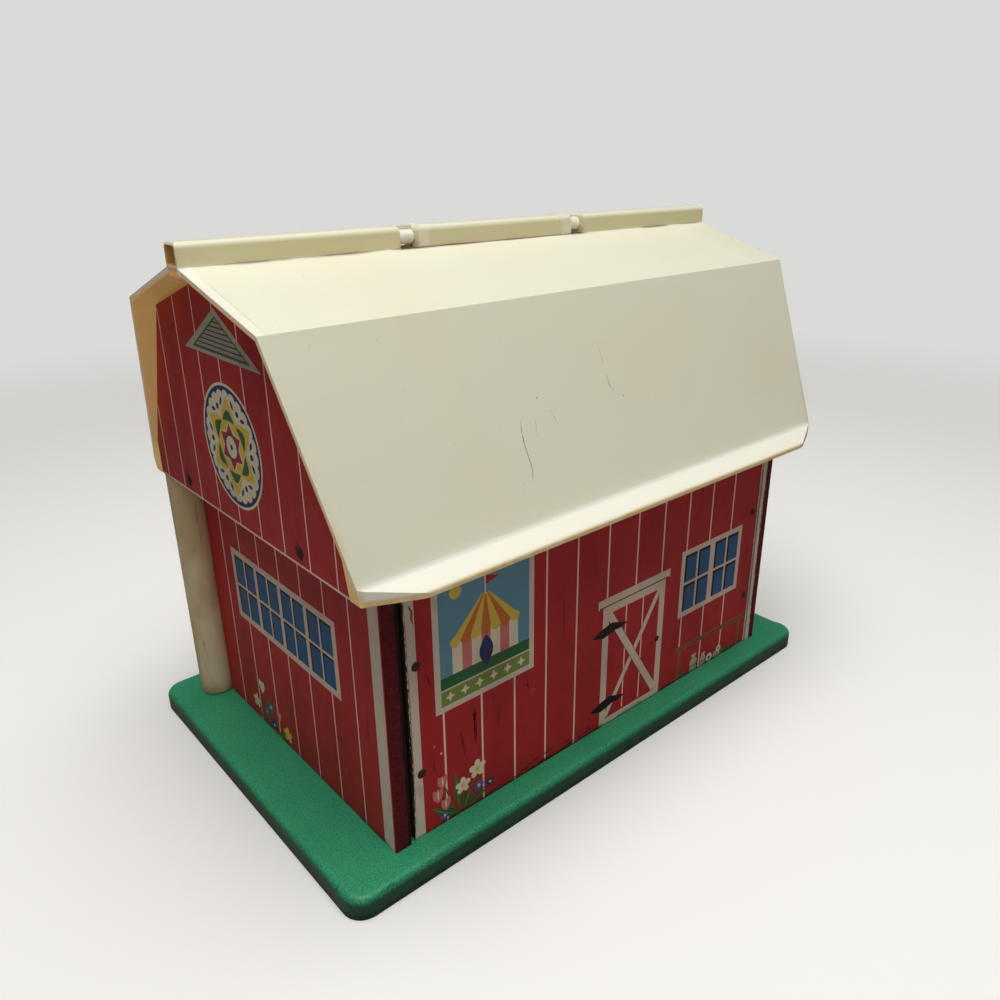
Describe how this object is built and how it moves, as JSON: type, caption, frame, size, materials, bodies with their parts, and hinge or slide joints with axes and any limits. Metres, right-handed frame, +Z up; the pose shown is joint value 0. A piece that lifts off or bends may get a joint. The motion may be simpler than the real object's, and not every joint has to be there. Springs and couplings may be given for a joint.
{
  "type": "toy barn",
  "caption": "Toy barn on a board base: nailed walls, loft floor, a moulded roof half that lifts on ridge pins and a large door that swings on a round tube.",
  "frame": {"origin": "on the table under the middle of the ridge, at the bottom centre of the whole object's box", "axes": "+X along the ridge away from the door tube's end, +Y towards the front with the swinging door, +Z up"},
  "size_m": [0.368, 0.243, 0.2953],
  "materials": {
    "green_board": "sprayed green paint with a fine speckle, satin",
    "red_board": "rough dark red painted board edge under a printed paper face",
    "printed_hardboard": "hardboard with a printed paper face, satin",
    "bare_wood": "unpainted softwood and board, matt",
    "turned_wood": "turned hardwood with rosin",
    "nail_steel": "browned steel nail",
    "bright_steel": "plain steel",
    "cream_plastic": "moulded off-white plastic, yellowed at the edges, satin gloss",
    "tube_plastic": "moulded off-white plastic tube",
    "dark_plastic": "brown plastic"
  },
  "bodies": {
    "barn": {"base_board": "green_board", "left_gable_board": "red_board", "right_gable_board": "red_board", "back_wall_panel": "printed_hardboard", "front_wall_panel": "printed_hardboard", "corner_cleats": "bare_wood", "door_jamb": "bare_wood", "back_wall_nails": "nail_steel", "front_wall_nails": "nail_steel", "loft_floor": "bare_wood", "loft_nails": "nail_steel", "left_upper_gable": "printed_hardboard", "right_upper_gable": "printed_hardboard", "gable_nails": "nail_steel", "near_roof": "cream_plastic", "roof_screws": "bright_steel", "base_screws": "bright_steel", "pivot_rod": "bright_steel", "voice_spool": "turned_wood"},
    "roof_half": {"lifting_roof": "cream_plastic", "ridge_pins": "cream_plastic"},
    "door": {"door_tube": "tube_plastic", "tube_foot_bush": "dark_plastic", "tube_head_bush": "dark_plastic", "barn_door": "printed_hardboard", "door_rivets": "bright_steel", "voice_diaphragm": "tube_plastic", "voice_band": "dark_plastic"}
  },
  "joints": [
    {"name": "roof_hinge", "type": "hinge", "parent": "barn", "child": "roof_half", "pos_m": [0, 0, 0.28955], "axis": [1, 0, 0], "range_deg": [0, 210]},
    {"name": "door_hinge", "type": "hinge", "parent": "barn", "child": "door", "pos_m": [-0.1565, 0.097, 0.0125], "axis": [0, 0, 1], "range_deg": [0, 110]}
  ]
}
